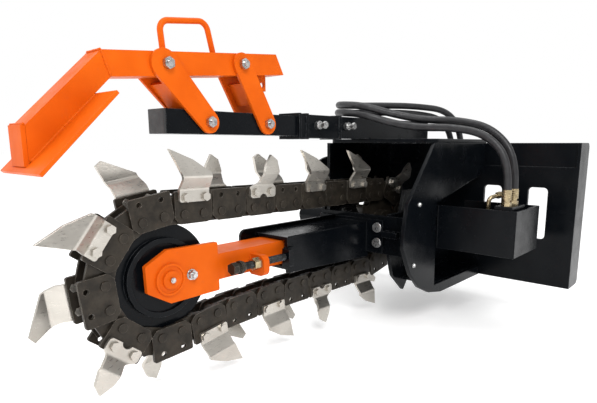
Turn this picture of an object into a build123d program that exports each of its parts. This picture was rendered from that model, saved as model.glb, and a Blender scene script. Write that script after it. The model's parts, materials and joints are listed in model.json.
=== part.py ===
from build123d import *
import math
import os

os.makedirs("parts", exist_ok=True)

# Trencher attachment for a skid-steer loader, in millimetres, +Z up.
# Origin: middle of the hitch plate's carrier-side face.  +X points to the carrier,
# so the digging boom runs along -X.  -Y is the side with the drive motor.

# ---------------------------------------------------------------- driving dimensions
PITCH = 50.8                 # chain pitch, 2 inches
CHAIN_Y = 67                 # middle plane of the digging chain
CHAIN_LINKS = 48             # pins in the closed chain
HITCH_WIDTH = 990
HITCH_HEIGHT = 464
PLATE = 12                   # thickness of the main frame plates
FIT = 0.05                   # radial running clearance of shafts
GAP = 0.5                    # clearance between sliding faces

NOSE = (-1130, -58)          # centre of the nose wheel, X and Z
NOSE_RADIUS = 134            # pin circle on the nose wheel
NOSE_FIRST = 88              # angle of the first pin on the nose wheel
NOSE_PINS = 9
TOP_LINKS = 16               # links in the straight top run
TOP_SLOPE = -0.86            # fall of the top run towards the sprocket, degrees
SPROCKET_TEETH = 13
SPROCKET_LEAD = 14           # first seated pin ahead of the sprocket's top, degrees
SPROCKET_PINS = 8
ROLLER_RADIUS = 14
PIN_RADIUS = 7
ROLLER_HALF = 14.5           # half width between the inner plates
INNER_PLATE = 6.5
OUTER_PLATE = 7
CHAIN_HALF = 29              # half width over the outer plates
TOOTH_PLATE = 8
TOOTH_BOLT_HEIGHT = 38       # tooth bolts above the pin line
TIE_Z = 244                  # top of the frame's top plate

# Slack of the bottom run: where it leaves a straight line, as share of length and rise.
SLACK = [(0, 0), (0.06, 0.5), (0.2, 15), (0.41, 12), (0.89, -17), (1, 0)]

FRAME_NEAR = -196            # outer face of the near gusset
FRAME_FAR = 206              # outer face of the far side plate
FRAME_FRONT = -387           # front edge of the top plate
BEAM_Y = (-72, -60)          # near bearing beam
BOOM_X = (-792, -427)        # boom box, front and root
BOOM_HALF = 66.5
BOOM_Z = (-100, -12)
ROOT_BOLTS = [(y, z) for y in (-40, 174) for z in (-26, -74)]

BAR_X = (-1109, -440)        # telescopic crumber bar
BAR_HALF = 30
BAR_Z = (250, 302)
SLEEVE_X = (-713, -12)
SLEEVE_WALL = 5

BAR_FRONT_PIVOT = (-1003, 277)
BAR_REAR_PIVOT = (-826, 278)
BEAM_FRONT_PIVOT = (-1104, 391)
BEAM_REAR_PIVOT = (-903, 412)
LINK_PLATE = 8
PIVOT_RADIUS = 8
REAR_PIVOT_PLAY = 1.4        # play of the rear upper pivot, which closes the linkage

HOSE_RADIUS = 11
SEAT_STEP = 360 / SPROCKET_TEETH
NOSE_STEP = 2 * math.degrees(math.asin(PITCH / 2 / NOSE_RADIUS))
SPROCKET_RADIUS = PITCH / 2 / math.sin(math.pi / SPROCKET_TEETH)


# ---------------------------------------------------------------- small helpers
def on_circle(centre, radius, degrees):
    """Point on a circle in the X-Z plane, from +X towards +Z."""
    turn = math.radians(degrees)
    return (centre[0] + radius * math.cos(turn), centre[1] + radius * math.sin(turn))


def box(x, y, z):
    """Box between pairs of X, Y and Z values."""
    size = [high - low for low, high in (x, y, z)]
    middle = tuple((low + high) / 2 for low, high in (x, y, z))
    return Pos(*middle) * Box(*size)


def rod(start, end, radius):
    """Cylinder between two points."""
    axis = Vector(*end) - Vector(*start)
    plane = Plane(origin=start, z_dir=axis)
    base = Cylinder(radius, axis.length, align=(Align.CENTER, Align.CENTER, Align.MIN))
    return plane.location * base


def cross_rod(place, y_low, y_high, radius):
    """Cylinder along Y at an X-Z place."""
    return rod((place[0], y_low, place[1]), (place[0], y_high, place[1]), radius)


def slab(outline, y_low, y_high, radius=0):
    """Plate from an X-Z outline, between two Y values, with rounded corners."""
    wire = Polyline(*[(x, y_low, z) for x, z in outline], close=True)
    plate = extrude(make_face(wire), amount=y_high - y_low, dir=(0, 1, 0))
    if radius:
        plate = fillet(plate.edges().filter_by(Axis.Y), radius)
    return plate


def hull(first, first_radius, second, second_radius, y_low, y_high):
    """Plate around two round ends with straight tangents."""
    dx = second[0] - first[0]
    dz = second[1] - first[1]
    heading = math.degrees(math.atan2(dz, dx))
    spread = math.degrees(math.acos((first_radius - second_radius) / math.hypot(dx, dz)))
    corners = [on_circle(first, first_radius, heading + spread),
               on_circle(second, second_radius, heading + spread),
               on_circle(second, second_radius, heading - spread),
               on_circle(first, first_radius, heading - spread)]
    plate = slab(corners, y_low, y_high)
    plate += cross_rod(first, y_low, y_high, first_radius)
    return plate + cross_rod(second, y_low, y_high, second_radius)


def hex_bar(start, end, flats):
    """Hexagonal prism between two points, by its width across flats."""
    axis = Vector(*end) - Vector(*start)
    plane = Plane(origin=start, z_dir=axis)
    shape = extrude(RegularPolygon(flats / 2, 6, major_radius=False), amount=axis.length)
    return plane.location * shape


def save(name, *solids):
    """Write one named sub-part."""
    shape = solids[0] if len(solids) == 1 else Compound(children=list(solids))
    export_step(shape, f"parts/{name}.step")


# ---------------------------------------------------------------- chain path
def top_end():
    """Pin where the top run meets the sprocket."""
    start = on_circle(NOSE, NOSE_RADIUS, NOSE_FIRST)
    return on_circle(start, TOP_LINKS * PITCH, TOP_SLOPE)


def head_centre():
    """Centre of the drive sprocket, below the end of the top run."""
    return on_circle(top_end(), SPROCKET_RADIUS, -90 + SPROCKET_LEAD)


def walk(start, end, links, scale):
    """Step pins of one pitch from start along the slack curve."""
    length = end[0] - start[0]

    def height(x):
        share = (x - start[0]) / length
        for (s0, d0), (s1, d1) in zip(SLACK, SLACK[1:]):
            if share <= s1:
                bend = d0 + (d1 - d0) * (share - s0) / (s1 - s0)
                return start[1] + (end[1] - start[1]) * share + scale * bend
        return end[1]

    pins = [start]
    for _ in range(links):
        x, z = pins[-1]
        slope = 0.0
        for _ in range(8):
            step = PITCH / math.hypot(1, slope)
            slope = (height(x + step) - z) / step
        pins.append((x + step, z + slope * step))
    return pins


def bottom_run(start, end, links):
    """Pins of the bottom run, with the slack that closes the chain."""
    low, high = 0.0, 3.0
    for _ in range(40):
        middle = (low + high) / 2
        if walk(start, end, links, middle)[-1][0] > end[0]:
            low = middle
        else:
            high = middle
    return walk(start, end, links, high)[1:-1]


def chain_pins():
    """All pin centres, from the top of the nose wheel forwards, down and back."""
    pins = [on_circle(NOSE, NOSE_RADIUS, NOSE_FIRST + NOSE_STEP * k) for k in range(NOSE_PINS)]
    head = head_centre()
    first_seat = 90 + SPROCKET_LEAD
    seats = [on_circle(head, SPROCKET_RADIUS, first_seat - SEAT_STEP * k)
             for k in reversed(range(SPROCKET_PINS))]
    links = CHAIN_LINKS - (NOSE_PINS - 1) - (SPROCKET_PINS - 1) - TOP_LINKS
    pins += bottom_run(pins[-1], seats[0], links)
    pins += seats
    for k in range(TOP_LINKS - 1, 0, -1):
        pins.append(on_circle(pins[0], k * PITCH, TOP_SLOPE))
    return pins


def link_place(pins, index):
    """Location of a link: x against the travel, y across, z outwards."""
    ahead = pins[(index + 1) % CHAIN_LINKS]
    behind = pins[index % CHAIN_LINKS]
    middle = ((ahead[0] + behind[0]) / 2, CHAIN_Y, (ahead[1] + behind[1]) / 2)
    back = Vector(behind[0] - ahead[0], 0, behind[1] - ahead[1])
    return Plane(origin=middle, x_dir=back, z_dir=back.cross(Vector(0, 1, 0))).location


# ---------------------------------------------------------------- chain pieces
def outer_plate(side):
    """Deep outer link plate with holes for two pins and two tooth bolts."""
    outline = [(-49.5, 52), (49.5, 52), (49.5, -8), (36, -21), (-36, -21), (-49.5, -8)]
    y_low = side * CHAIN_HALF if side < 0 else CHAIN_HALF - OUTER_PLATE
    plate = slab(outline, y_low, y_low + OUTER_PLATE, 5)
    for x in (-PITCH / 2, PITCH / 2):
        plate -= cross_rod((x, 0), -CHAIN_HALF, CHAIN_HALF, PIN_RADIUS)
        plate -= cross_rod((x, TOOTH_BOLT_HEIGHT), -CHAIN_HALF, CHAIN_HALF, 6)
    return plate


def inner_plate(side):
    """Inner link plate, narrower than the outer one."""
    y_low = ROLLER_HALF if side > 0 else -ROLLER_HALF - INNER_PLATE
    ends = ((-PITCH / 2, 0), (PITCH / 2, 0))
    plate = hull(ends[0], 21, ends[1], 21.01, y_low, y_low + INNER_PLATE)
    plate += slab([(-36, 0), (36, 0), (30, 40), (-30, 40)], y_low, y_low + INNER_PLATE, 4)
    for end in ends:
        plate -= cross_rod(end, y_low - 1, y_low + INNER_PLATE + 1, PIN_RADIUS)
    return plate


def roller():
    """Hardened roller around a chain pin."""
    body = cross_rod((0, 0), -ROLLER_HALF, ROLLER_HALF, ROLLER_RADIUS)
    return body - cross_rod((0, 0), -ROLLER_HALF, ROLLER_HALF, PIN_RADIUS)


def chain_pin():
    """Pin with a riveted head on each side."""
    pin = cross_rod((0, 0), -CHAIN_HALF, CHAIN_HALF, PIN_RADIUS)
    for side in (-1, 1):
        ends = sorted((side * CHAIN_HALF, side * (CHAIN_HALF + 3)))
        head = cross_rod((0, 0), ends[0], ends[1], 10)
        pin += chamfer(head.edges().filter_by(GeomType.CIRCLE).sort_by(Axis.Y)[side], 1.2)
    return pin


# Outlines of the cast teeth in link coordinates, x against the travel and z outwards.
NEAR_OUTLINE = [(36, 28), (36, 66), (32, 92), (-12, 121), (-67, 143), (-52, 108), (-40, 78), (-42, 28)]
FAR_OUTLINE = [(36, 28), (36, 66), (24, 93), (-50, 132), (-64, 123), (-50, 92), (-42, 70), (-42, 28)]
CLAW_OUTLINE = [(42, 24), (42, 48), (30, 60), (38, 90), (29, 118), (8, 131), (-8, 104),
                (-16, 62), (-42, 50), (-42, 24)]


def tooth(side, claw):
    """Cast cutting tooth: an outline cut from a sheet that bulges out above its bolts."""
    face = side * CHAIN_HALF
    bend, crest, top = 56, 84, 150
    bulge, tip = 20, 22 if claw else 4
    line = [(0, 20), (0, bend), (bulge, crest), (tip, top)]
    front = [(face + side * out, z) for out, z in line]
    back = [(y + side * TOOTH_PLATE, z) for y, z in front]
    wire = Polyline(*[(-80, y, z) for y, z in front + back[::-1]], close=True)
    body = extrude(make_face(wire), amount=130, dir=(1, 0, 0))
    bends = body.edges().filter_by(Axis.X).filter_by_position(Axis.Z, bend - 1, crest + 1)
    body = fillet(bends, 10)
    outline = CLAW_OUTLINE if claw else (NEAR_OUTLINE if side < 0 else FAR_OUTLINE)
    cutter = slab(outline, -120, 120)
    rounded = cutter.edges().filter_by(Axis.Y).sort_by(Axis.Z)
    cutter = fillet(rounded[:6] if claw else rounded[:4], 8 if claw else 6)
    body = body & cutter
    for x in (-PITCH / 2, PITCH / 2):
        body -= cross_rod((x, TOOTH_BOLT_HEIGHT), -60, 60, 6)
    if claw:
        body -= cross_rod((0, 20), -60, 60, 13)
    return body


def tooth_bolt(side):
    """Hex bolt through tooth and plate, with its nut inside the plate."""
    outer = side * (CHAIN_HALF + TOOTH_PLATE)
    inner = side * (CHAIN_HALF - OUTER_PLATE)
    head = hex_bar((0, outer, 0), (0, outer + side * 7, 0), 18)
    shank = cross_rod((0, 0), *sorted((outer, inner)), 6)
    nut = hex_bar((0, inner, 0), (0, inner - side * 0.4, 0), 17)
    return head + shank + nut


def chain():
    """Digging chain: separate nose and run groups of every kind of piece."""
    pins = chain_pins()
    groups = {}

    def add(name, index, shape):
        zone = "nose" if index < NOSE_PINS - 1 else "run"
        groups.setdefault(f"{name}_{zone}", []).append(shape)

    plates = [outer_plate(-1), outer_plate(1)]
    inner = [inner_plate(-1), inner_plate(1)]
    teeth = {(side, claw): tooth(side, claw) for side in (-1, 1) for claw in (True, False)}
    bolts = {side: tooth_bolt(side) for side in (-1, 1)}
    for index in range(0, CHAIN_LINKS, 2):
        place = link_place(pins, index)
        number = -(index // 2 + 1)
        side = -1 if number % 2 == 0 else 1
        claw = number % 6 == (2 if side < 0 else 1)
        for plate in plates:
            add("chain_outer_plates", index, place * plate)
        name = "near_teeth" if side < 0 else "far_teeth"
        add(name, index, place * teeth[side, claw])
        for x in (-PITCH / 2, PITCH / 2):
            add("chain_pins", index, place * Pos(x, 0, 0) * chain_pin())
            add("chain_rollers", index, place * Pos(x, 0, 0) * roller())
            add("tooth_bolts", index, place * Pos(x, 0, TOOTH_BOLT_HEIGHT) * bolts[side])
    for index in range(1, CHAIN_LINKS, 2):
        place = link_place(pins, index)
        for plate in inner:
            add("chain_inner_plates", index, place * plate)
    for name, solids in groups.items():
        save(name, *solids)


# ---------------------------------------------------------------- drive
def drive_sprocket(head):
    """Toothed wheel with an open flank for every seated roller."""
    wheel = cross_rod(head, CHAIN_Y - 13, CHAIN_Y + 13, SPROCKET_RADIUS + 12)
    seat = ROLLER_RADIUS + 0.4
    for k in range(SPROCKET_TEETH):
        angle = 90 + SPROCKET_LEAD - SEAT_STEP * k
        inner = on_circle(head, SPROCKET_RADIUS, angle)
        outer = on_circle(head, SPROCKET_RADIUS + 24, angle)
        wheel -= hull(inner, seat, outer, seat + 12, CHAIN_Y - 14, CHAIN_Y + 14)
    wheel += cross_rod(head, CHAIN_Y - 40, CHAIN_Y + 40, 46)
    return wheel - cross_rod(head, CHAIN_Y - 41, CHAIN_Y + 41, 25)


def head_shaft(head):
    """Through shaft from the motor to the auger."""
    shaft = cross_rod(head, -112, 402, 25)
    return shaft + cross_rod(head, 402, 414, 20)


def auger(head):
    """Spoil auger: a tube hub with one screw flight of less than a turn."""
    y_low, y_high = 216, 388
    pitch, inner, outer = 320, 36, 224
    hub = cross_rod(head, y_low - 2, y_high + 6, 40)
    path = Helix(pitch=pitch, height=y_high - y_low - 12, radius=(inner + outer) / 2)
    section = Plane(origin=path @ 0, x_dir=(1, 0, 0), z_dir=path % 0) * Rectangle(outer - inner, 8)
    flight = sweep(section, path=path, is_frenet=True)
    spin = Location((head[0], y_low + 6, head[1]), (-90, 0, 0)) * Rot(0, 0, 205)
    body = hub + spin * flight
    return body - cross_rod(head, y_low - 4, y_high + 8, 25)


# ---------------------------------------------------------------- hitch and frame
def hitch_plate():
    """Skid-steer hitch plate with side flanges, top strip, bottom lip and windows."""
    half_w, half_h = HITCH_WIDTH / 2, HITCH_HEIGHT / 2
    strip_z = 150
    plate = box((-PLATE, 0), (-half_w, half_w), (-half_h, strip_z + 6))
    plate += box((-4, 8), (-half_w, half_w), (strip_z, half_h))
    for side in (-1, 1):
        flange_y = sorted((side * half_w, side * (half_w - 10)))
        flange = box((-PLATE, 86), flange_y, (-half_h, half_h))
        plate += fillet(flange.edges().filter_by(Axis.Y).group_by(Axis.X)[-1], 18)
    plate += box((-PLATE, 52), (-half_w, half_w), (-half_h, -half_h + 10))
    for y_low, y_high in ((-408, -346), (-259, -197), (267, 408)):
        window = box((-30, 20), (y_low, y_high), (-80, 89))
        plate -= fillet(window.edges().filter_by(Axis.X), 14)
    for side in (-1, 1):
        slot = box((12, 40), sorted((side * 395, side * 440)), (-half_h - 5, -half_h + 15))
        plate -= slot
    return plate


def near_gusset():
    """Large rounded side plate on the motor side, cut out around the motor."""
    outline = [(-377, 232), (-495, 91), (-519, 65), (-535, -16), (-537, -58), (-494, -138),
               (-445, -187), (-382, -217), (-304, -232), (-PLATE, -232), (-PLATE, 232)]
    plate = slab(outline, FRAME_NEAR, FRAME_NEAR + PLATE)
    cut = [(-352, 56), (-PLATE + 5, 133), (-PLATE + 5, -200), (-349, -200)]
    return plate - slab(cut, FRAME_NEAR - 5, FRAME_NEAR + PLATE + 5)


def far_side_plate(head):
    """Side plate on the auger side, with a lobe around the far bearing."""
    outline = [(-386, 232), (-386, 0), (-362, head[1]), (-212, head[1]), (-215, 85),
               (-PLATE, 85), (-PLATE, 232)]
    plate = slab(outline, FRAME_FAR - PLATE, FRAME_FAR)
    plate += cross_rod(head, FRAME_FAR - PLATE, FRAME_FAR, 75)
    return plate - cross_rod(head, FRAME_FAR - PLATE - 1, FRAME_FAR + 1, 27)


def top_plate():
    """Flat top of the frame, from the front edge to the hitch plate."""
    plate = box((FRAME_FRONT, -PLATE), (FRAME_NEAR, FRAME_FAR - 8), (TIE_Z - PLATE, TIE_Z))
    return fillet(plate.edges().filter_by(Axis.Z).group_by(Axis.X)[0], 30)


def bearing_beam(head):
    """Upright plate beside the chain that carries the near bearing and the motor."""
    outline = [(-415, 15), (-415, -105), (-404, -146), (-390, -185), (-325, -244), (-290, -200),
               (-PLATE, -200), (-PLATE, 85), (-330, 85), (-352, 15)]
    beam = slab(outline, *BEAM_Y)
    beam += box((-330, -PLATE), (FRAME_NEAR + PLATE, BEAM_Y[1]), (-208, -200))
    return beam - cross_rod(head, BEAM_Y[0] - 1, BEAM_Y[1] + 1, 28)


def cross_plate():
    """Plate across the frame that the boom bolts to."""
    plate = box((-427, -415), (FRAME_NEAR + PLATE, FRAME_FAR - PLATE), (-110, 10))
    plate += box((-427, -330), (FRAME_FAR - 2 * PLATE, FRAME_FAR - PLATE), (20, 110))
    plate += box((-427, -415), (FRAME_FAR - 2 * PLATE, FRAME_FAR - PLATE), (-110, 110))
    plate += box((-447, -427), (-115, -62), (-53, -34))
    for y, z in ROOT_BOLTS:
        plate -= rod((-430, y, z), (-410, y, z), 8)
    return plate


def boom():
    """Boom box that guides the nose arm, with a bolting flange at its root."""
    near, far = CHAIN_Y - BOOM_HALF, CHAIN_Y + BOOM_HALF
    front, root = BOOM_X
    low = BOOM_Z[0]
    body = slab([(front, BOOM_Z[1]), (front, low - 8), (root, low - 24), (root, BOOM_Z[1])],
                near, near + 8)
    far_side = box((front - 53, root), (far - 8, far), (low - 8, BOOM_Z[1] + 12))
    body += fillet(far_side.edges().filter_by(Axis.Y).group_by(Axis.X)[0], 20)
    body += box((front, root), (near, far), (BOOM_Z[1] - 8, BOOM_Z[1]))
    body += box((front, root), (near, far), (BOOM_Z[0], BOOM_Z[0] + 8))
    body += box((root - 10, root), (-60, 193), (-105, -2))
    for y, z in ROOT_BOLTS:
        body -= rod((root - 12, y, z), (root + 1, y, z), 8)
    return body


def slide_pads():
    """Guide pads between the boom box and the nose arm."""
    x = (BOOM_X[0] + 12, BOOM_X[0] + 92)
    near, far = CHAIN_Y - BOOM_HALF + 8, CHAIN_Y + BOOM_HALF - 8
    low, high = BOOM_Z[0] + 8, BOOM_Z[1] - 8
    return [box(x, (near, CHAIN_Y - 43 - GAP), (-80, -32)),
            box(x, (CHAIN_Y + 43 + GAP, far), (-80, -32)),
            box(x, (CHAIN_Y - 30, CHAIN_Y + 30), (-24 + GAP, high)),
            box(x, (CHAIN_Y - 30, CHAIN_Y + 30), (low, -86 - GAP))]


def boom_root_bolts():
    """Four bolts that hold the boom flange to the cross plate."""
    bolts = []
    for y, z in ROOT_BOLTS:
        head = hex_bar((-447, y, z), (-437, y, z), 24)
        bolts.append(head + rod((-437, y, z), (-415, y, z), 8))
    return bolts


def flanged_bearing(head, face, side):
    """Square-flange bearing on a plate face, its housing towards side."""
    flange = box((head[0] - 50, head[0] + 50), sorted((face, face + side * 12)),
                 (head[1] - 50, head[1] + 50))
    body = fillet(flange.edges().filter_by(Axis.Y), 16)
    body += cross_rod(head, *sorted((face, face + side * 34)), 42)
    return body - cross_rod(head, *sorted((face - side, face + side * 35)), 25 + FIT)


def bearing_bolts(head):
    """Corner bolts of both bearing flanges."""
    bolts = []
    for face, side, through in ((BEAM_Y[1], 1, BEAM_Y[0]), (FRAME_FAR - PLATE, -1, FRAME_FAR)):
        for dx in (-38, 38):
            for dz in (-38, 38):
                x, z = head[0] + dx, head[1] + dz
                outer = face + side * 12
                bolt = hex_bar((x, outer, z), (x, outer + side * 8, z), 18)
                bolts.append(bolt + rod((x, outer, z), (x, through, z), 6))
    return bolts


def bolt_holes(solid, head, y, radius=6):
    """Cut the four corner holes of a bearing flange."""
    for dx in (-38, 38):
        for dz in (-38, 38):
            solid = solid - cross_rod((head[0] + dx, head[1] + dz), y[0], y[1], radius)
    return solid


# ---------------------------------------------------------------- hydraulics
GUARD_X = (-347, -159)
GUARD_Y = (-430, FRAME_NEAR)
GUARD_Z = (-83, 48)
PORT_Y = -392


def motor_guard(head):
    """Open-topped sheet box around the drive motor."""
    wall = 5
    body = box(GUARD_X, GUARD_Y, GUARD_Z)
    inside = box((GUARD_X[0] + wall, GUARD_X[1] - wall), (GUARD_Y[0] + wall, GUARD_Y[1] + 1),
                 (GUARD_Z[0] + wall, GUARD_Z[1] + 1))
    return body - inside


def hydraulic_motor(head):
    """Orbit motor on the bearing beam, with a port block on its tail."""
    flange = box((head[0] - 52, head[0] + 52), (-84, BEAM_Y[0]), (head[1] - 52, head[1] + 52))
    body = fillet(flange.edges().filter_by(Axis.Y), 14)
    body += cross_rod(head, -180, -84, 50)
    body += cross_rod(head, -415, -180, 36)
    body += box((head[0] - 52, head[0] + 45), (-415, -365), (head[1], 58))
    body = body - cross_rod(head, -114, BEAM_Y[0] + 1, 25 + FIT)
    return body


PRESSURE_X, RETURN_X = -324, -271


def hose_fitting(x):
    """Brass swivel fitting: hex, collar and crimped ferrule."""
    body = hex_bar((x, PORT_Y, 58), (x, PORT_Y, 70), 24)
    body += rod((x, PORT_Y, 70), (x, PORT_Y, 76), 9.5)
    return body + rod((x, PORT_Y, 76), (x, PORT_Y, 104), 12.5)


PRESSURE_ROUTE = [(-324, -392, 104), (-324, -392, 184), (-328, -326, 256), (-342, -228, 276),
                  (-364, -134, 276), (-396, -50, 292), (-448, 17, 319), (-448, 103, 326),
                  (-386, 165, 330), (-292, 165, 334), (-190, 112, 338), (-80, 52, 338),
                  (28, -4, 322), (74, -28, 242), (76, -30, 158)]
RETURN_ROUTE = [(-271, -392, 104), (-271, -392, 192), (-278, -322, 274), (-300, -222, 298),
                (-334, -128, 300), (-382, -44, 320), (-443, 16, 343), (-443, 102, 350),
                (-383, 164, 354), (-290, 164, 358), (-190, 111, 362), (-80, 50, 363),
                (30, -28, 350), (76, -62, 264), (78, -64, 176)]


def hose(route):
    """Hydraulic hose along a smooth route."""
    points = [Vector(*p) for p in route]
    radii = []
    for before, here, after in zip(points, points[1:], points[2:]):
        first, second = here - before, after - here
        half_turn = math.radians(first.get_angle(second)) / 2
        radii.append(0.45 * min(first.length, second.length) / math.tan(half_turn))
    line = FilletPolyline(*points, radius=min(radii))
    section = Plane(origin=line @ 0, z_dir=line % 0) * Circle(HOSE_RADIUS)
    return sweep(section, path=line)


def drain_elbow():
    """Small brass elbow of the motor's case drain, closed by a cap."""
    foot = (-296, -330, 11)
    line = FilletPolyline(foot, (-296, -330, 74), (-262, -352, 84), radius=16)
    pipe = sweep(Plane(origin=foot, z_dir=(0, 0, 1)) * Circle(6), path=line)
    body = pipe + hex_bar((-296, -330, 11), (-296, -330, 22), 20)
    return body + hex_bar(tuple(line @ 0.86), tuple(line @ 1), 18)


def coupler(route):
    """Quick coupler on the end of a hose."""
    last, before = Vector(*route[-1]), Vector(*route[-2])
    heading = (last - before).normalized()

    def along(distance):
        point = last + heading * distance
        return (point.X, point.Y, point.Z)

    body = rod(along(0), along(22), 14)
    body += hex_bar(along(22), along(40), 30)
    return body + rod(along(40), along(84), 16)


# ---------------------------------------------------------------- nose arm
ARM_HALF = 43
ARM_Z = (-86, -24)
SCREW_Y, SCREW_Z = -7, -59


def nose_arm():
    """Fork that carries the nose wheel, on a tube that slides in the boom."""
    tube = box((-1007, -680), (CHAIN_Y - ARM_HALF, CHAIN_Y + ARM_HALF), ARM_Z)
    tube -= box((-1000, -679), (CHAIN_Y - ARM_HALF + 7, CHAIN_Y + ARM_HALF - 7),
                (ARM_Z[0] + 7, ARM_Z[1] - 7))
    outline = [(-1186, -21), (-1133, 7), (-1001, 5), (-999, -111), (-1130, -112), (-1184, -79)]
    for y_low in (22, 101):
        tube += slab(outline, y_low, y_low + 11, 4)
    for y_face, side in ((22, -1), (112, 1)):
        tube += cross_rod(NOSE, *sorted((y_face, y_face + side * 6)), 35)
    tube -= cross_rod(NOSE, 15, 18.5, 30)
    tube += cross_rod(NOSE, 13, 22, 20)
    tube -= cross_rod(NOSE, 18, 125, 16)
    lug = box((-900, -882), (-26, CHAIN_Y - ARM_HALF + 1), (-92, -40))
    lug = fillet(lug.edges().filter_by(Axis.X).group_by(Axis.Y)[0], 16)
    tube += lug
    return tube - rod((-910, SCREW_Y, SCREW_Z), (-870, SCREW_Y, SCREW_Z), 8.5 + GAP)


def nose_axle():
    """Fixed axle of the nose wheel."""
    return cross_rod(NOSE, 18, 122, 16)


def grease_fitting():
    """Grease nipple on the axle's near end."""
    return cross_rod(NOSE, 4, 13, 4) + cross_rod(NOSE, 7, 10, 6)


def nose_wheel():
    """Smooth idler wheel with a raised hub ring on both sides."""
    wheel = cross_rod(NOSE, CHAIN_Y - 13, CHAIN_Y + 13, NOSE_RADIUS - ROLLER_RADIUS - 0.4)
    wheel += cross_rod(NOSE, CHAIN_Y - 26, CHAIN_Y + 26, 88)
    wheel -= cross_rod(NOSE, CHAIN_Y - 27, CHAIN_Y - 20, 76)
    wheel -= cross_rod(NOSE, CHAIN_Y + 20, CHAIN_Y + 27, 76)
    wheel += cross_rod(NOSE, CHAIN_Y - 33, CHAIN_Y + 33, 40)
    return wheel - cross_rod(NOSE, CHAIN_Y - 34, CHAIN_Y + 34, 22)


def wheel_bushing():
    """Bronze bushing pressed into the nose wheel."""
    return cross_rod(NOSE, CHAIN_Y - 33, CHAIN_Y + 33, 22) - cross_rod(
        NOSE, CHAIN_Y - 34, CHAIN_Y + 34, 16 + FIT)


def arm_bolts():
    """Hex bolt through the near and far fork plates."""
    x, z = -1075, -58
    near = hex_bar((x, 12, z), (x, 22, z), 19) + rod((x, 6, z), (x, 12, z), 6)
    far = hex_bar((x, 112, z), (x, 120, z), 19)
    return [near, far]


def tension_screw():
    """Long screw that pushes the nose arm out of the boom."""
    def part(x_low, x_high, radius):
        return rod((x_low, SCREW_Y, SCREW_Z), (x_high, SCREW_Y, SCREW_Z), radius)

    body = hex_bar((-986, SCREW_Y, SCREW_Z), (-972, SCREW_Y, SCREW_Z), 26)
    body += part(-972, -964, 12) + part(-964, -957, 16) + part(-957, -950, 13)
    return body + part(-950, -812, 8.5)


def tension_nut():
    """Brass nut that bears on the arm's lug."""
    nut = hex_bar((-922, SCREW_Y, SCREW_Z), (-900, SCREW_Y, SCREW_Z), 27)
    return nut - rod((-923, SCREW_Y, SCREW_Z), (-899, SCREW_Y, SCREW_Z), 8.5 + FIT)


def screw_bracket():
    """Stop bracket for the tension screw on the boom's near side."""
    near = CHAIN_Y - BOOM_HALF
    body = box((-812, -798), (-26, near), (-82, -38))
    body += box((-812, -776), (near - 8, near), (-90, -38))
    return body


def bracket_bolts():
    """Two small bolts of the screw bracket."""
    near = CHAIN_Y - BOOM_HALF
    return [cross_rod((-791, z), near - 14, near - 8, 6) for z in (-52, -74)]


# ---------------------------------------------------------------- crumber
def crumber_sleeve():
    """Square receiver tube on the top plate, with collar bands at its mouth."""
    inner = ((CHAIN_Y - BAR_HALF - GAP, CHAIN_Y + BAR_HALF + GAP), (BAR_Z[0] - GAP, BAR_Z[1] + GAP))
    outer = tuple((low - SLEEVE_WALL, high + SLEEVE_WALL) for low, high in inner)
    body = box(SLEEVE_X, *outer)
    for x, width in ((-713, 8), (-685, 10), (-542, 10)):
        body += box((x, x + width), *[(low - 3, high + 3) for low, high in outer])
    body -= box((SLEEVE_X[0] - 5, SLEEVE_X[1] + 5), *inner)
    for x in (-640, -510):
        body -= rod((x, 20, 280), (x, 40, 280), 6)
    return body


def set_bolts():
    """Set bolts that clamp the crumber bar, with nuts welded on the sleeve."""
    face = CHAIN_Y - BAR_HALF
    solids = []
    for x in (-640, -510):
        bolt = hex_bar((x, -4, 280), (x, 4, 280), 18) + rod((x, 4, 280), (x, face, 280), 6)
        solids.append(bolt)
    return solids


def set_nuts():
    """Hex nuts of the set bolts."""
    face = CHAIN_Y - BAR_HALF - GAP - SLEEVE_WALL
    solids = []
    for x in (-640, -510):
        nut = hex_bar((x, face - 12, 280), (x, face, 280), 20)
        solids.append(nut - rod((x, face - 13, 280), (x, face + 1, 280), 6))
    return solids


def crumber_bar():
    """Square telescopic bar with holes for both lower link bolts."""
    y = (CHAIN_Y - BAR_HALF, CHAIN_Y + BAR_HALF)
    body = box(BAR_X, y, BAR_Z)
    body -= box((BAR_X[0] - 1, BAR_X[1] + 1), (y[0] + 5, y[1] - 5), (BAR_Z[0] + 5, BAR_Z[1] - 5))
    for pivot in (BAR_FRONT_PIVOT, BAR_REAR_PIVOT):
        body -= cross_rod(pivot, y[0] - 1, y[1] + 1, PIVOT_RADIUS)
    return body


def bar_end_cap():
    """Plastic plug in the bar's front end."""
    y = (CHAIN_Y - BAR_HALF, CHAIN_Y + BAR_HALF)
    body = box((BAR_X[0] - 6, BAR_X[0]), y, BAR_Z)
    return body + box((BAR_X[0], BAR_X[0] + 16), (y[0] + 5, y[1] - 5), (BAR_Z[0] + 5, BAR_Z[1] - 5))


LINK_NEAR = (CHAIN_Y - BAR_HALF - GAP - LINK_PLATE, CHAIN_Y - BAR_HALF - GAP)
LINK_FAR = (CHAIN_Y + BAR_HALF + GAP, CHAIN_Y + BAR_HALF + GAP + LINK_PLATE)


def link_bolt(pivot, head_at=LINK_NEAR[0] - 0.3, end_at=LINK_FAR[1] + 0.3):
    """Pivot bolt: hex head near, shank across, nut far."""
    x, z = pivot
    bolt = hex_bar((x, head_at - 10, z), (x, head_at, z), 22)
    bolt += rod((x, head_at - 16, z), (x, head_at - 10, z), 7)
    bolt += cross_rod(pivot, head_at, end_at, PIVOT_RADIUS)
    return bolt + hex_bar((x, end_at, z), (x, end_at + 10, z), 22)


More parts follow.
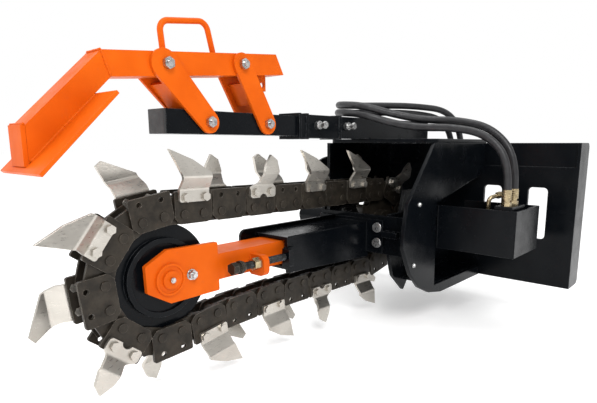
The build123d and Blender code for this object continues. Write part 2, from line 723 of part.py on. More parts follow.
def front_link():
    """Front crumber link: two plates joined by a web that rests on the bar."""
    crown = (BEAM_FRONT_PIVOT[0] - 5, BEAM_FRONT_PIVOT[1] - 2)
    body = hull(BAR_FRONT_PIVOT, 25, crown, 31, *LINK_NEAR)
    body += hull(BAR_FRONT_PIVOT, 25, crown, 31, *LINK_FAR)
    web = [(-1105, 352), (-1062, 302.5), (-1056, 307), (-1099, 357)]
    body += slab(web, LINK_NEAR[0], LINK_FAR[1])
    for pivot in (BAR_FRONT_PIVOT, BEAM_FRONT_PIVOT):
        body -= cross_rod(pivot, 0, 140, PIVOT_RADIUS + FIT)
    return body


def rear_link():
    """Rear crumber link: two plates joined by a web."""
    body = hull(BAR_REAR_PIVOT, 26, BEAM_REAR_PIVOT, 26.01, *LINK_NEAR)
    body += hull(BAR_REAR_PIVOT, 26, BEAM_REAR_PIVOT, 26.01, *LINK_FAR)
    web = [(-893, 371), (-866, 322), (-860, 325), (-887, 374)]
    body += slab(web, LINK_NEAR[0], LINK_FAR[1])
    body -= cross_rod(BAR_REAR_PIVOT, 0, 140, PIVOT_RADIUS + FIT)
    return body - cross_rod(BEAM_REAR_PIVOT, 0, 140, PIVOT_RADIUS + REAR_PIVOT_PLAY)


def crumber_beam():
    """Bent square beam of the crumber, with its lower tab."""
    y = (CHAIN_Y - BAR_HALF, CHAIN_Y + BAR_HALF)
    straight = [(-1237, 401), (-788, 449), (-762, 402), (-1221, 354)]
    slope = [(-1237, 401), (-1221, 354), (-1378, 196), (-1378, 261)]
    body = slab(straight, *y) + slab(slope, *y)
    body += slab([(-834, 405), (-801, 405), (-801, 360), (-834, 360)], CHAIN_Y - 4, CHAIN_Y + 4)
    body -= cross_rod((-812, 375), CHAIN_Y - 5, CHAIN_Y + 5, 7)
    for pivot in (BEAM_FRONT_PIVOT, BEAM_REAR_PIVOT):
        body -= cross_rod(pivot, y[0] - 1, y[1] + 1, PIVOT_RADIUS)
    return body


def crumber_shoe():
    """Flat shoe plate under the beam's sloping front."""
    corners = [(-1392, 181), (-1252, 322), (-1247, 317), (-1387, 176)]
    body = slab(corners, -41, 142)
    return body + box((-1386, -1378), (CHAIN_Y - BAR_HALF, CHAIN_Y + BAR_HALF), (190, 261))


def crumber_handle():
    """Bent round-bar handle on the beam."""
    points = [(-1089, CHAIN_Y, 418.5), (-1095, CHAIN_Y, 481), (-977, CHAIN_Y, 499), (-960, CHAIN_Y, 433)]
    line = FilletPolyline(*points, radius=22)
    section = Plane(origin=line @ 0, z_dir=line % 0) * Circle(6.5)
    return sweep(section, path=line)


# ---------------------------------------------------------------- all sub-parts
def main():
    head = head_centre()
    chain()
    save("drive_sprocket", drive_sprocket(head))
    save("head_shaft", head_shaft(head))
    save("auger", auger(head))

    save("hitch_plate", hitch_plate())
    save("near_gusset", near_gusset())
    save("far_side_plate", bolt_holes(far_side_plate(head), head, (FRAME_FAR - 13, FRAME_FAR + 1)))
    save("top_plate", top_plate())
    save("bearing_beam", bolt_holes(bearing_beam(head), head, (BEAM_Y[0] - 1, BEAM_Y[1] + 1)))
    save("cross_plate", cross_plate())
    save("boom", boom())
    save("slide_pads", *slide_pads())
    save("boom_root_bolts", *boom_root_bolts())
    near_bearing = flanged_bearing(head, BEAM_Y[1], 1)
    save("near_bearing", bolt_holes(near_bearing, head, (BEAM_Y[1] - 1, BEAM_Y[1] + 13)))
    far_bearing = flanged_bearing(head, FRAME_FAR - PLATE, -1)
    save("far_bearing", bolt_holes(far_bearing, head, (FRAME_FAR - 25, FRAME_FAR - 11)))
    save("bearing_bolts", *bearing_bolts(head))

    save("motor_guard", motor_guard(head))
    save("hydraulic_motor", hydraulic_motor(head))
    save("hose_fittings", hose_fitting(PRESSURE_X), hose_fitting(RETURN_X))
    save("drain_elbow", drain_elbow())
    save("pressure_hose", hose(PRESSURE_ROUTE))
    save("return_hose", hose(RETURN_ROUTE))
    save("pressure_coupler", coupler(PRESSURE_ROUTE))
    save("return_coupler", coupler(RETURN_ROUTE))

    save("nose_arm", nose_arm())
    save("nose_axle", nose_axle())
    save("grease_fitting", grease_fitting())
    save("nose_wheel", nose_wheel())
    save("wheel_bushing", wheel_bushing())
    save("arm_bolts", *arm_bolts())
    save("tension_screw", tension_screw())
    save("tension_nut", tension_nut())
    save("screw_bracket", screw_bracket())
    save("bracket_bolts", *bracket_bolts())

    save("crumber_sleeve", crumber_sleeve())
    save("set_bolts", *set_bolts())
    save("set_nuts", *set_nuts())
    save("crumber_bar", crumber_bar())
    save("bar_end_cap", bar_end_cap())
    save("lower_link_bolts", link_bolt(BAR_FRONT_PIVOT), link_bolt(BAR_REAR_PIVOT))
    save("front_link", front_link())
    save("rear_link", rear_link())
    save("crumber_beam", crumber_beam())
    save("crumber_shoe", crumber_shoe())
    save("crumber_handle", crumber_handle())
    save("upper_link_bolts", link_bolt(BEAM_FRONT_PIVOT), link_bolt(BEAM_REAR_PIVOT))


main()
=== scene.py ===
import bmesh
import bpy
import json
import math
from mathutils import Matrix, Vector


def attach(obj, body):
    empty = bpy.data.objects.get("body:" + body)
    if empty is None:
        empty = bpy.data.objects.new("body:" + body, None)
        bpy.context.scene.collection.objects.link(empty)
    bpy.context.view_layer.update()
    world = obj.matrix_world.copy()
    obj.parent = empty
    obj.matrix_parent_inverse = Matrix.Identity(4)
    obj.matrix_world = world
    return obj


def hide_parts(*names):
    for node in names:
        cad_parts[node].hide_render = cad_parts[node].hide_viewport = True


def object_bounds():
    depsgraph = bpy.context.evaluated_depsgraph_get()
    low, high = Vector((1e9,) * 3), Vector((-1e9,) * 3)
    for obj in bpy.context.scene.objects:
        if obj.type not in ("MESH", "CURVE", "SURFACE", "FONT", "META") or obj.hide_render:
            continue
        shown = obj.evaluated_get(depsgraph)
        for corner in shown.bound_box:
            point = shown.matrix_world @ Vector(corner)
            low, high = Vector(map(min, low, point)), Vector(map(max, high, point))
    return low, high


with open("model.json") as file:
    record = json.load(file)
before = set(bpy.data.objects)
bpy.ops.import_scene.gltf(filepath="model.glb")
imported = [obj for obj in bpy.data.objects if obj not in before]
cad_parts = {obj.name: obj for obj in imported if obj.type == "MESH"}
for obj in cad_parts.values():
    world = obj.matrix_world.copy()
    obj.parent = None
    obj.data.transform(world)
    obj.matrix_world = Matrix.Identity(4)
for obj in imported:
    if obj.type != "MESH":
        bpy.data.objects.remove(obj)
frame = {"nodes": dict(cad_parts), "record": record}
CAD_BOX = [list(corner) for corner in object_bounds()]
NODES = frame["nodes"]
MM = 0.001


# ---------------------------------------------------------------- materials
class Surface:
    """A Principled material with helpers for procedural colour, gloss and relief."""

    def __init__(self, name, metallic=0.0):
        self.material = bpy.data.materials.new(name)
        self.material.use_nodes = True
        self.nodes = self.material.node_tree.nodes
        self.links = self.material.node_tree.links
        self.shader = self.nodes["Principled BSDF"]
        self.shader.inputs["Metallic"].default_value = metallic
        self.place = self.nodes.new("ShaderNodeTexCoord").outputs["Object"]

    def stretched(self, scale):
        """Object coordinates scaled by a different factor along each axis."""
        mapping = self.nodes.new("ShaderNodeMapping")
        mapping.inputs["Scale"].default_value = scale
        self.links.new(self.place, mapping.inputs["Vector"])
        return mapping.outputs["Vector"]

    def noise(self, scale, detail=4.0, roughness=0.55, place=None):
        """Fractal noise between 0 and 1, in object coordinates unless place is given."""
        node = self.nodes.new("ShaderNodeTexNoise")
        node.inputs["Scale"].default_value = scale
        node.inputs["Detail"].default_value = detail
        node.inputs["Roughness"].default_value = roughness
        self.links.new(place or self.place, node.inputs["Vector"])
        return node.outputs["Fac"]

    def spread(self, value, low, high, out_low, out_high):
        """Map the range from low to high onto out_low to out_high, and clamp beyond it."""
        node = self.nodes.new("ShaderNodeMapRange")
        node.inputs["From Min"].default_value = low
        node.inputs["From Max"].default_value = high
        node.inputs["To Min"].default_value = out_low
        node.inputs["To Max"].default_value = out_high
        self.links.new(value, node.inputs["Value"])
        return node.outputs["Result"]

    def blend(self, factor, first, second):
        """Mix two colours, each a tuple or the result of another node."""
        node = self.nodes.new("ShaderNodeMix")
        node.data_type = "RGBA"
        self.links.new(factor, node.inputs["Factor"])
        for socket, colour in ((node.inputs["A"], first), (node.inputs["B"], second)):
            if isinstance(colour, tuple):
                socket.default_value = (*colour, 1.0)
            else:
                self.links.new(colour, socket)
        return node.outputs["Result"]

    def edges(self, radius, low=0.02, high=0.3):
        """A mask that is 1 on convex and concave edges, from the rounded-corner normal."""
        bevel = self.nodes.new("ShaderNodeBevel")
        bevel.inputs["Radius"].default_value = radius
        flat = self.nodes.new("ShaderNodeNewGeometry").outputs["Normal"]
        dot = self.nodes.new("ShaderNodeVectorMath")
        dot.operation = "DOT_PRODUCT"
        self.links.new(bevel.outputs["Normal"], dot.inputs[0])
        self.links.new(flat, dot.inputs[1])
        return self.spread(dot.outputs["Value"], 1.0 - low, 1.0 - high, 0.0, 1.0)

    def times(self, first, second):
        """The product of two masks."""
        node = self.nodes.new("ShaderNodeMath")
        node.operation = "MULTIPLY"
        self.links.new(first, node.inputs[0])
        self.links.new(second, node.inputs[1])
        return node.outputs["Value"]

    def colour(self, value):
        self.links.new(value, self.shader.inputs["Base Color"])

    def gloss(self, value):
        self.links.new(value, self.shader.inputs["Roughness"])

    def relief(self, height, strength, distance):
        """Bump from a height, with the distance in metres."""
        bump = self.nodes.new("ShaderNodeBump")
        bump.inputs["Strength"].default_value = strength
        bump.inputs["Distance"].default_value = distance
        self.links.new(height, bump.inputs["Height"])
        self.links.new(bump.outputs["Normal"], self.shader.inputs["Normal"])


def orange_paint():
    """Sprayed orange enamel: soft mottling, dusty scuffs and darker chipped edges."""
    s = Surface("orange_paint")
    mottle = s.spread(s.noise(9, 3), 0.35, 0.65, 0.0, 1.0)
    body = s.blend(mottle, (0.60, 0.088, 0.003), (0.68, 0.112, 0.005))
    scuffs = s.spread(s.noise(70, 8, 0.7), 0.6, 0.72, 0.0, 0.55)
    scuffed = s.blend(scuffs, body, (0.55, 0.10, 0.02))
    chips = s.times(s.edges(0.0016), s.spread(s.noise(140, 4), 0.52, 0.62, 0.0, 0.8))
    s.colour(s.blend(chips, scuffed, (0.16, 0.05, 0.02)))
    s.gloss(s.spread(s.noise(30, 4), 0.3, 0.7, 0.28, 0.46))
    s.relief(s.noise(420, 2), 0.12, 0.0006)
    s.shader.inputs["Specular IOR Level"].default_value = 0.07
    return s.material


def black_paint():
    """Black paint with faint dust, small grey specks, and lighter edges that are partly wear and
    partly painted highlight.
    """
    s = Surface("black_paint")
    dust = s.spread(s.noise(7, 5, 0.6), 0.45, 0.75, 0.0, 0.5)
    body = s.blend(dust, (0.0022, 0.0030, 0.0042), (0.0075, 0.0085, 0.0098))
    specks = s.spread(s.noise(260, 3), 0.66, 0.74, 0.0, 0.3)
    speckled = s.blend(specks, body, (0.035, 0.034, 0.033))
    # Lighter edges: partly wear, partly a painted highlight along the rims.
    wear_and_highlight = s.times(s.edges(0.0016), s.spread(s.noise(60, 4), 0.4, 0.62, 0.1, 0.9))
    s.colour(s.blend(wear_and_highlight, speckled, (0.20, 0.21, 0.22)))
    s.shader.inputs["Specular IOR Level"].default_value = 0.11
    s.gloss(s.spread(s.noise(24, 5), 0.3, 0.7, 0.16, 0.30))
    s.relief(s.noise(600, 2), 0.1, 0.0004)
    return s.material


def chain_steel():
    """Oiled black link steel with brown-grey dust, and lighter edges that are partly rubbing wear
    and partly painted highlight.
    """
    s = Surface("chain_steel", 0.35)
    patches = s.spread(s.noise(38, 6, 0.65), 0.38, 0.66, 0.0, 1.0)
    body = s.blend(patches, (0.017, 0.014, 0.0105), (0.037, 0.030, 0.022))
    s.shader.inputs["Specular IOR Level"].default_value = 0.3
    # Lighter edges: partly rubbing wear, partly a painted highlight on the plate and pin rims.
    rubbed_and_highlight = s.times(s.edges(0.0018), s.spread(s.noise(120, 4), 0.4, 0.6, 0.1, 0.8))
    s.colour(s.blend(rubbed_and_highlight, body, (0.34, 0.30, 0.25)))
    s.gloss(s.spread(s.noise(60, 5), 0.3, 0.7, 0.3, 0.6))
    s.relief(s.noise(220, 5, 0.6), 0.25, 0.0008)
    return s.material


def tooth_steel():
    """Bright cast tooth steel with grinding streaks and grey scale."""
    s = Surface("tooth_steel", 0.9)
    scale = s.spread(s.noise(11, 3, 0.5), 0.35, 0.75, 0.0, 1.0)
    body = s.blend(scale, (0.58, 0.55, 0.50), (0.42, 0.395, 0.355))
    spots = s.spread(s.noise(190, 5, 0.6), 0.66, 0.74, 0.0, 0.35)
    s.colour(s.blend(spots, body, (0.24, 0.22, 0.20)))
    streaks = s.noise(1.0, 5, 0.6, s.stretched((60, 60, 420)))
    s.gloss(s.spread(streaks, 0.3, 0.7, 0.24, 0.42))
    s.relief(s.noise(260, 5, 0.6), 0.14, 0.0005)
    return s.material


def plated_steel():
    """Zinc plating with a faint grain, and dark outlines along its edges that are painted shade."""
    s = Surface("zinc_steel", 0.95)
    tarnish = s.spread(s.noise(110, 5), 0.4, 0.7, 0.0, 1.0)
    body = s.blend(tarnish, (0.60, 0.60, 0.59), (0.30, 0.30, 0.31))
    # Dark outlines along every edge are painted shade.
    s.colour(s.blend(s.edges(0.0013), body, (0.09, 0.09, 0.09)))
    s.gloss(s.spread(s.noise(200, 3), 0.3, 0.7, 0.2, 0.4))
    s.relief(s.noise(500, 2), 0.08, 0.0003)
    return s.material


def yellow_metal(name, bright, dull):
    """Brass or bronze with dull patches and a fine grain."""
    s = Surface(name, 0.95)
    s.colour(s.blend(s.spread(s.noise(90, 5), 0.35, 0.7, 0.0, 1.0), bright, dull))
    s.gloss(s.spread(s.noise(160, 3), 0.3, 0.7, 0.2, 0.38))
    s.relief(s.noise(700, 2), 0.1, 0.0003)
    return s.material


def cast_housing():
    """Painted casting with patches of two greys and a coarse grain."""
    s = Surface("cast_housing", 0.2)
    patches = s.spread(s.noise(50, 6), 0.35, 0.7, 0.0, 1.0)
    s.colour(s.blend(patches, (0.02, 0.02, 0.021), (0.05, 0.05, 0.05)))
    s.gloss(s.spread(s.noise(80, 4), 0.3, 0.7, 0.4, 0.62))
    s.relief(s.noise(320, 5), 0.5, 0.001)
    return s.material


def hose_rubber():
    """Rubber hose cover with dusty patches and a fine grain."""
    s = Surface("hose_rubber")
    dust = s.spread(s.noise(60, 5), 0.4, 0.7, 0.0, 1.0)
    s.colour(s.blend(dust, (0.006, 0.006, 0.0075), (0.018, 0.018, 0.02)))
    s.gloss(s.spread(s.noise(90, 3), 0.3, 0.7, 0.36, 0.55))
    s.relief(s.noise(900, 2), 0.3, 0.0006)
    return s.material


def black_plastic():
    """Black plastic with faint patches and a fine grain."""
    s = Surface("black_plastic")
    patches = s.spread(s.noise(40, 4), 0.4, 0.7, 0.0, 1.0)
    s.colour(s.blend(patches, (0.014, 0.014, 0.015), (0.03, 0.03, 0.03)))
    s.gloss(s.spread(s.noise(120, 3), 0.3, 0.7, 0.42, 0.58))
    s.relief(s.noise(800, 2), 0.25, 0.0004)
    return s.material


MATERIALS = {
    "black_paint": black_paint(),
    "orange_paint": orange_paint(),
    "chain_steel": chain_steel(),
    "tooth_steel": tooth_steel(),
    "zinc_steel": plated_steel(),
    "cast_housing": cast_housing(),
    "brass": yellow_metal("brass", (0.52, 0.42, 0.25), (0.30, 0.24, 0.15)),
    "bronze": yellow_metal("bronze", (0.55, 0.36, 0.17), (0.35, 0.22, 0.10)),
    "hose_rubber": hose_rubber(),
    "black_plastic": black_plastic(),
}
SLOT_OF = {part["node"]: part["material_slot"] for part in frame["record"]["subparts"]}
BODIES = frame["record"]["behaviour"]["bodies"]
BODY_OF = {node: body for body, nodes in BODIES.items() for node in nodes}


def paint(obj, slot):
    """Give an object one material."""
    obj.data.materials.clear()
    obj.data.materials.append(MATERIALS[slot])


for node, obj in NODES.items():
    paint(obj, SLOT_OF[node])


# ---------------------------------------------------------------- mesh helpers
WELD_DISTANCE = 0.02             # vertices closer than this are one, millimetres
FLAT_ANGLE = 0.6                 # faces closer in angle than this are one, degrees
ROUND_SEGMENTS = 2
ROUND_ANGLE = 32                 # edges sharper than this are rounded, degrees


def add_piece(name, mesh_or_curve, body, slot, replaced=()):
    """Put a new piece in the scene, on a body, in a material slot."""
    obj = bpy.data.objects.new(name, mesh_or_curve)
    bpy.context.scene.collection.objects.link(obj)
    paint(obj, slot)
    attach(obj, body)
    if replaced:
        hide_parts(*replaced)
    return obj


def clean_copy(node):
    """The node's mesh, welded and with its flat faces whole."""
    bm = bmesh.new()
    bm.from_mesh(NODES[node].data)
    bmesh.ops.remove_doubles(bm, verts=bm.verts, dist=WELD_DISTANCE * MM)
    bmesh.ops.dissolve_limit(bm, angle_limit=math.radians(FLAT_ANGLE), verts=bm.verts,
                             edges=bm.edges, delimit={"NORMAL"})
    return bm


def rounded(node, width):
    """Replace a node by its own shape with small rounds on its edges."""
    bm = clean_copy(node)
    mesh = bpy.data.meshes.new(node + "_finished")
    bm.to_mesh(mesh)
    bm.free()
    obj = add_piece(node + "_finished", mesh, BODY_OF[node], SLOT_OF[node], (node,))
    bevel = obj.modifiers.new("round", "BEVEL")
    bevel.width = width * MM
    bevel.segments = ROUND_SEGMENTS
    bevel.limit_method = "ANGLE"
    bevel.angle_limit = math.radians(ROUND_ANGLE)
    bevel.use_clamp_overlap = True
    bevel.harden_normals = False
    for face in mesh.polygons:
        face.use_smooth = True
    shade = obj.modifiers.new("normals", "WEIGHTED_NORMAL")
    shade.keep_sharp = True


# ---------------------------------------------------------------- finished CAD shapes
# The width of the rounds on each node's edges, millimetres.
ROUNDS = {
    "hitch_plate": 1.6, "near_gusset": 1.4, "far_side_plate": 1.4, "top_plate": 1.2,
    "bearing_beam": 1.2, "cross_plate": 1.2, "boom": 1.2, "motor_guard": 1.0,
    "crumber_sleeve": 1.0, "crumber_bar": 1.6, "bar_end_cap": 1.5, "nose_arm": 1.0,
    "crumber_beam": 2.0, "crumber_shoe": 1.0, "front_link": 0.9, "rear_link": 0.9,
    "near_teeth_nose": 1.6, "near_teeth_run": 1.6, "far_teeth_nose": 1.6, "far_teeth_run": 1.6,
    "chain_outer_plates_nose": 0.9, "chain_outer_plates_run": 0.9,
    "hydraulic_motor": 1.5, "nose_wheel": 1.0, "screw_bracket": 0.8,
    "near_bearing": 1.0, "far_bearing": 1.0, "drive_sprocket": 0.8,
    "tooth_bolts_nose": 0.8, "tooth_bolts_run": 0.8, "chain_pins_nose": 0.6, "chain_pins_run": 0.6,
    "lower_link_bolts": 1.0, "upper_link_bolts": 1.0, "set_bolts": 1.0, "set_nuts": 0.8,
    "boom_root_bolts": 1.0, "arm_bolts": 1.0, "bracket_bolts": 0.8, "bearing_bolts": 1.0,
    "tension_nut": 0.9, "hose_fittings": 0.8, "drain_elbow": 0.6, "chain_inner_plates_nose": 0.7,
    "chain_inner_plates_run": 0.7, "grease_fitting": 0.4,
}
for node, width in ROUNDS.items():
    rounded(node, width)


# ---------------------------------------------------------------- hoses
# The routes are the hoses' control points in millimetres, from the fitting to the coupler.
HOSE_DIAMETER = 0.022            # metres
PRESSURE_ROUTE = [(-324, -392, 104), (-324, -392, 184), (-328, -326, 256), (-342, -228, 276),
                  (-364, -134, 276), (-396, -50, 292), (-448, 17, 319), (-448, 103, 326),
                  (-386, 165, 330), (-292, 165, 334), (-190, 112, 338), (-80, 52, 338),
                  (28, -4, 322), (74, -28, 242), (76, -30, 158)]
RETURN_ROUTE = [(-271, -392, 104), (-271, -392, 192), (-278, -322, 274), (-300, -222, 298),
                (-334, -128, 300), (-382, -44, 320), (-443, 16, 343), (-443, 102, 350),
                (-383, 164, 354), (-290, 164, 358), (-190, 111, 362), (-80, 50, 363),
                (30, -28, 350), (76, -62, 264), (78, -64, 176)]


def hose(name, route):
    """A hydraulic hose as one smooth spline with its true thickness."""
    curve = bpy.data.curves.new(name, "CURVE")
    curve.dimensions = "3D"
    curve.bevel_depth = HOSE_DIAMETER / 2
    curve.bevel_resolution = 6
    curve.resolution_u = 12
    curve.use_fill_caps = True
    spline = curve.splines.new("NURBS")
    spline.points.add(len(route) - 1)
    for point, place in zip(spline.points, route):
        point.co = (*(Vector(place) * MM), 1.0)
    spline.order_u = 3
    spline.use_endpoint_u = True
    obj = add_piece(name + "_cover", curve, "frame", "hose_rubber", (name,))


hose("pressure_hose", PRESSURE_ROUTE)
hose("return_hose", RETURN_ROUTE)


# ---------------------------------------------------------------- small details
def loops_mesh(name, loops, ring=False):
    """Skin a list of equal loops of points into one closed mesh."""
    bm = bmesh.new()
    rows = [[bm.verts.new(point) for point in loop] for loop in loops]
    pairs = list(zip(rows, rows[1:])) + ([(rows[-1], rows[0])] if ring else [])
    for first, second in pairs:
        for k in range(len(first)):
            after = (k + 1) % len(first)
            bm.faces.new((first[k], first[after], second[after], second[k]))
    if not ring:
        bm.faces.new(list(reversed(rows[0])))
        bm.faces.new(rows[-1])
    bmesh.ops.recalc_face_normals(bm, faces=bm.faces)
    mesh = bpy.data.meshes.new(name)
    bm.to_mesh(mesh)
    bm.free()
    return mesh


def turned(centre, axis, profile, sides=32):
    """Loops of a turned shape: profile pairs are distance along the axis and radius."""
    turn = Vector(axis).to_track_quat("Z", "Y")
    loops = []
    for along, radius in profile:
        loop = []
        for k in range(sides):
            angle = math.tau * k / sides
            local = Vector((radius * math.cos(angle), radius * math.sin(angle), along))
            loop.append((Vector(centre) + turn @ local) * MM)
        loops.append(loop)
    return loops


def washer(name, centre, axis, inner, outer, thick, body):
    """Zinc-plated flat washer with chamfered outer edges; inner and outer are radii."""
    edge = 0.3 * thick
    profile = [(0, inner), (0, outer - edge), (edge, outer), (thick - edge, outer),
               (thick, outer - edge), (thick, inner)]
    mesh = loops_mesh(name, turned(centre, axis, profile), ring=True)
    add_piece(name, mesh, body, "zinc_steel")


def capped_bolt(name, centre, axis, flats, height, body):
    """Zinc-plated hex bolt head with a chamfered crown and a shallow hollow top."""
    corner = flats / math.sqrt(3)
    profile = [(0, 0.97 * corner), (0.4, corner), (0.72 * height, corner), (height, 0.84 * corner),
               (height, 0.55 * corner), (height - 0.7, 0.5 * corner)]
    mesh = loops_mesh(name, turned(centre, axis, profile, sides=6))
    add_piece(name, mesh, body, "zinc_steel")


BEAD_PAINT = {"frame": "black_paint", "crumber": "orange_paint", "tension_arm": "orange_paint"}
BEAD_SIDES = 10
BEAD_STEP = 0.55                 # spacing of the loops along a bead, in bead radii
RIPPLE_STEP = 1.15               # radians of ripple from one loop to the next


def weld(name, points, radius, body):
    """Rippled weld bead along a line of points, in its body's paint."""
    places = [Vector(point) for point in points]
    loops = []
    ripple = 0.0
    for start, end in zip(places, places[1:]):
        run = end - start
        count = max(2, int(run.length / (BEAD_STEP * radius)))
        turn = run.to_track_quat("Z", "Y")
        for step in range(count):
            ripple += RIPPLE_STEP
            swell = radius * (0.86 + 0.14 * math.sin(ripple) + 0.05 * math.sin(0.37 * ripple))
            centre = start + run * (step / (count - 1))
            loop = []
            for k in range(BEAD_SIDES):
                angle = math.tau * k / BEAD_SIDES
                out = Vector((swell * math.cos(angle), swell * math.sin(angle), 0))
                loop.append((centre + turn @ out) * MM)
            loops.append(loop)
    mesh = loops_mesh(name, loops)
    add_piece(name, mesh, body, BEAD_PAINT[body])
    for face in mesh.polygons:
        face.use_smooth = True


def thread(name, start, length, root, crest, pitch, body, slot):
    """Helical thread ridge along +X; root and crest are radii."""
    steps = 20
    loops = []
    for k in range(int(length / pitch * steps)):
        angle = math.tau * k / steps
        out = Vector((0, math.cos(angle), math.sin(angle)))
        middle = Vector(start) + Vector((pitch * k / steps, 0, 0))
        half = Vector((0.46 * pitch, 0, 0))
        loops.append([(middle + out * root - half) * MM, (middle + out * crest) * MM,
                      (middle + out * root + half) * MM])
    add_piece(name, loops_mesh(name, loops), body, slot)


# Places of the details, in millimetres in the part's frame.
TOWARDS_NEAR = (0, -1, 0)
BEAM_NEAR, BEAM_FAR = 37, 97     # sides of the crumber beam
BEAM_MIDDLE = 67
BEAD_LIFT = 0.4                  # how far a bead's middle stands off the beam's side
ELBOW_SEAM = ((-1237, 400), (-1230, 376), (-1222, 355))     # x and z
SHOE_SEAM = ((-1375, 199), (-1315, 259), (-1255, 318))
HANDLE_FEET = ((-1089, 417.5), (-961, 430.5))
HANDLE_RING = 8                  # radius of the bead round a foot
HANDLE_RISE = 0.85               # about what the beam's top rises over that radius
HANDLE_STEPS = 12
TAB_Y, TAB_Z = 62.5, 403
SET_BOLT_X = (-640, -510)
SLEEVE_SIDES = (30.5, 102.5)
SLEEVE_FOOT = 245.5
SLEEVE_BANDS = (-704.5, -674.5, -531.5)
ROOT_BOLTS = ((-40, -26), (-40, -74), (174, -26), (174, -74))   # y and z
ARM_EDGES = (-24, -86)
LUG_Y = 23.4
GUSSET_BOLTS = ((-457, 59), (-479, -114))                   # x and z
GUARD_FRONT = -429
GUARD_WALLS = ((347, -346), (159, -160))                    # name and x of each wall's bead
PORT_X = (-324, -271)
PORT_Y = -392
CRIMP_START, CRIMP_END = 76.2, 103.6
CRIMP_RIDGES = 4
CRIMP_STEP = 6


def crumber_details():
    """Beads on the crumber beam, its shoe, its handle and its tab."""
    for side, y in (("near", BEAM_NEAR - BEAD_LIFT), ("far", BEAM_FAR + BEAD_LIFT)):
        weld("elbow_weld_" + side, [(x, y, z) for x, z in ELBOW_SEAM], 2.6, "crumber")
        weld("shoe_weld_" + side, [(x, y, z) for x, z in SHOE_SEAM], 3.2, "crumber")
    weld("elbow_weld_top", [(-1237.5, 40, 401.5), (-1237.5, 94, 401.5)], 2.6, "crumber")
    weld("end_weld", [(-1381, BEAM_NEAR, 262), (-1381, BEAM_FAR, 262)], 2.4, "crumber")
    for x, z in HANDLE_FEET:
        ring = []
        for k in range(HANDLE_STEPS + 1):
            angle = math.tau * k / HANDLE_STEPS
            ring.append((x + HANDLE_RING * math.cos(angle),
                         BEAM_MIDDLE + HANDLE_RING * math.sin(angle),
                         z + HANDLE_RISE * math.cos(angle)))
        weld(f"handle_weld_{-x}", ring, 2.0, "crumber")
    weld("tab_weld", [(-832, TAB_Y, TAB_Z), (-803, TAB_Y, TAB_Z)], 2.2, "crumber")


def sleeve_details():
    """Washers under the set bolts, and beads along the sleeve and its bands."""
    for x in SET_BOLT_X:
        washer(f"set_washer_{-x}", (x, 19.2, 280), TOWARDS_NEAR, 6.4, 11.5, 1.8, "frame")
    for y in SLEEVE_SIDES:
        weld(f"sleeve_weld_{int(y)}", [(-384, y, SLEEVE_FOOT), (-20, y, SLEEVE_FOOT)], 3.4, "frame")
    for x in SLEEVE_BANDS:
        weld(f"band_weld_{int(-x)}", [(x, 31, 246), (x, 31, 309)], 1.3, "frame")


def boom_details():
    """Beads on the boom, washers at its root and the tension screw's thread."""
    weld("boom_top_seam", [(-788, 0.2, -11.5), (-437, 0.2, -11.5)], 2.2, "frame")
    weld("boom_root_weld", [(-438, 0.0, -104), (-438, 0.0, -12)], 3.4, "frame")
    for k, (y, z) in enumerate(ROOT_BOLTS):
        washer(f"root_washer_{k}", (-437.2, y, z), (-1, 0, 0), 8.4, 15.5, 2.4, "frame")
    thread("screw_thread", start=(-946, -7, -59), length=134, root=8.3, crest=9.4, pitch=3.0,
           body="frame", slot="black_paint")
    weld("bracket_weld", [(-805, -7, -37.5), (-805, 0, -37.5)], 1.8, "frame")


def arm_details():
    """Beads on the nose arm and its lug, and the washer of the arm's bolt."""
    for z in ARM_EDGES:
        weld(f"arm_weld_{-z}", [(-1000, 23.6, z), (-1000, 33, z)], 2.4, "tension_arm")
    weld("lug_weld_front", [(-900.6, LUG_Y, -88), (-900.6, LUG_Y, -44)], 2.4, "tension_arm")
    weld("lug_weld_back", [(-881.4, LUG_Y, -84), (-881.4, LUG_Y, -44)], 2.2, "tension_arm")
    washer("arm_washer", (-1075, 21.8, -58), TOWARDS_NEAR, 6.6, 12.5, 1.6, "tension_arm")


def side_details():
    """Bolts and beads on the gusset and the motor guard, and the hoses' crimped sleeves."""
    for k, (x, z) in enumerate(GUSSET_BOLTS):
        washer(f"gusset_washer_{k}", (x, -196, z), TOWARDS_NEAR, 3, 7.0, 1.2, "frame")
        capped_bolt(f"gusset_bolt_{k}", (x, -197.0, z), TOWARDS_NEAR, 10, 4, "frame")
    for wall, x in GUARD_WALLS:
        weld(f"guard_weld_{wall}", [(x, GUARD_FRONT, -82), (x, GUARD_FRONT, 46)], 1.8, "frame")
    weld("guard_root_weld", [(-346.5, -197.5, -80), (-346.5, -197.5, 46)], 2.6, "frame")
    weld("gusset_top_weld", [(-372, -184, 231), (-20, -184, 231)], 2.6, "frame")
    profile = [(CRIMP_START, 11.9)]
    for k in range(CRIMP_RIDGES):
        rise = CRIMP_STEP * k
        profile += [(79 + rise, 13.1), (81.4 + rise, 13.1), (82.6 + rise, 12.1)]
    profile.append((CRIMP_END, 11.6))
    for x in PORT_X:
        mesh = loops_mesh("crimp", turned((x, PORT_Y, 0), (0, 0, 1), profile))
        add_piece(f"hose_crimp_{-x}", mesh, "frame", "brass")


crumber_details()
sleeve_details()
boom_details()
arm_details()
side_details()


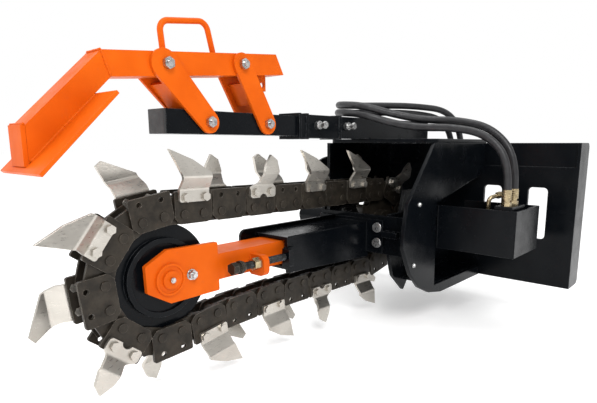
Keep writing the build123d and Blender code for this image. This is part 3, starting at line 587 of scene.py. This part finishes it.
# ---------------------------------------------------------------- studio
CAMERA_PLACE = (-1.69498, -0.89333, 0.22893)
CAMERA_HEADING = 41.04           # from +X towards +Y, degrees
CAMERA_PITCH = -10.3             # below the level, degrees
CAMERA_LENS = 29.76
CAMERA_SENSOR = 36
CAMERA_SHIFT = (-0.0333, 0.0537)
BRIGHT_SIDE = (0.755, 0.656, 0.0)    # the world is brightest this way, beyond the object
DARK_SIDE_STRENGTH = 0.3         # the world's strength behind the camera
BRIGHT_SIDE_STRENGTH = 1.0
DARK_UP_TO = -0.9                # cosines to the bright side between which the strength grows
BRIGHT_FROM = 0.45
FLOOR_GLOW = 0.4
FLOOR_REACH = 30
FLOOR_GAP = 0.004                # between the floor and the lowest point of the object
LIGHT_TARGET = (-0.7, 0, 0)
LIGHTS = (                       # name, place, size, power
    ("key", (-2.2, -2.4, 2.4), (1.4, 1.4), 85),
    ("side", (-2.8, 1.2, 1.6), (1.5, 1.5), 25),
    ("top", (-0.4, 0.2, 3.0), (2.5, 1.5), 40),
)


def camera():
    """The camera fitted to the photo."""
    data = bpy.data.cameras.new("camera")
    data.lens = CAMERA_LENS
    data.sensor_width = CAMERA_SENSOR
    data.shift_x, data.shift_y = CAMERA_SHIFT
    data.clip_start = 0.01
    obj = bpy.data.objects.new("camera", data)
    obj.location = CAMERA_PLACE
    heading = math.radians(CAMERA_HEADING)
    pitch = math.radians(CAMERA_PITCH)
    tilt = Matrix.Rotation(math.pi / 2 + pitch, 4, "X")
    obj.rotation_euler = (Matrix.Rotation(heading - math.pi / 2, 4, "Z") @ tilt).to_euler()
    bpy.context.scene.collection.objects.link(obj)
    bpy.context.scene.camera = obj


def floor(height):
    """A near-white floor that glows a little, so that it fades into the background."""
    mesh = bpy.data.meshes.new("studio_floor")
    side = FLOOR_REACH
    mesh.from_pydata([(-side, -side, height), (side, -side, height), (side, side, height),
                      (-side, side, height)], [], [(0, 1, 2, 3)])
    obj = bpy.data.objects.new("studio_floor", mesh)
    bpy.context.scene.collection.objects.link(obj)
    s = Surface("floor_paint")
    s.colour(s.blend(s.noise(2, 2), (0.84, 0.84, 0.84), (0.87, 0.87, 0.87)))
    s.shader.inputs["Roughness"].default_value = 0.9
    s.shader.inputs["Specular IOR Level"].default_value = 0.0
    s.shader.inputs["Emission Color"].default_value = (1, 1, 1, 1)
    s.shader.inputs["Emission Strength"].default_value = FLOOR_GLOW
    mesh.materials.append(s.material)


def area_light(name, place, size, power):
    """A rectangular light that faces the object."""
    data = bpy.data.lights.new(name, "AREA")
    data.shape = "RECTANGLE"
    data.size, data.size_y = size
    data.energy = power
    obj = bpy.data.objects.new(name, data)
    obj.location = place
    obj.rotation_euler = (Vector(LIGHT_TARGET) - Vector(place)).to_track_quat("-Z", "Y").to_euler()
    bpy.context.scene.collection.objects.link(obj)


def studio():
    """A world that is bright beyond the object and dim behind the camera, and three lights."""
    world = bpy.data.worlds.new("studio_air")
    world.use_nodes = True
    nodes, links = world.node_tree.nodes, world.node_tree.links
    nodes["Background"].inputs["Color"].default_value = (1, 1, 1, 1)
    facing = nodes.new("ShaderNodeVectorMath")
    facing.operation = "DOT_PRODUCT"
    facing.inputs[1].default_value = BRIGHT_SIDE
    links.new(nodes.new("ShaderNodeTexCoord").outputs["Generated"], facing.inputs[0])
    strength = nodes.new("ShaderNodeMapRange")
    strength.inputs["From Min"].default_value = DARK_UP_TO
    strength.inputs["From Max"].default_value = BRIGHT_FROM
    strength.inputs["To Min"].default_value = DARK_SIDE_STRENGTH
    strength.inputs["To Max"].default_value = BRIGHT_SIDE_STRENGTH
    links.new(facing.outputs["Value"], strength.inputs["Value"])
    links.new(strength.outputs["Result"], nodes["Background"].inputs["Strength"])
    bpy.context.scene.world = world
    bpy.context.scene.view_settings.view_transform = "Standard"
    for name, place, size, power in LIGHTS:
        area_light(name, place, size, power)


camera()
floor(CAD_BOX[0][2] - FLOOR_GAP)
studio()
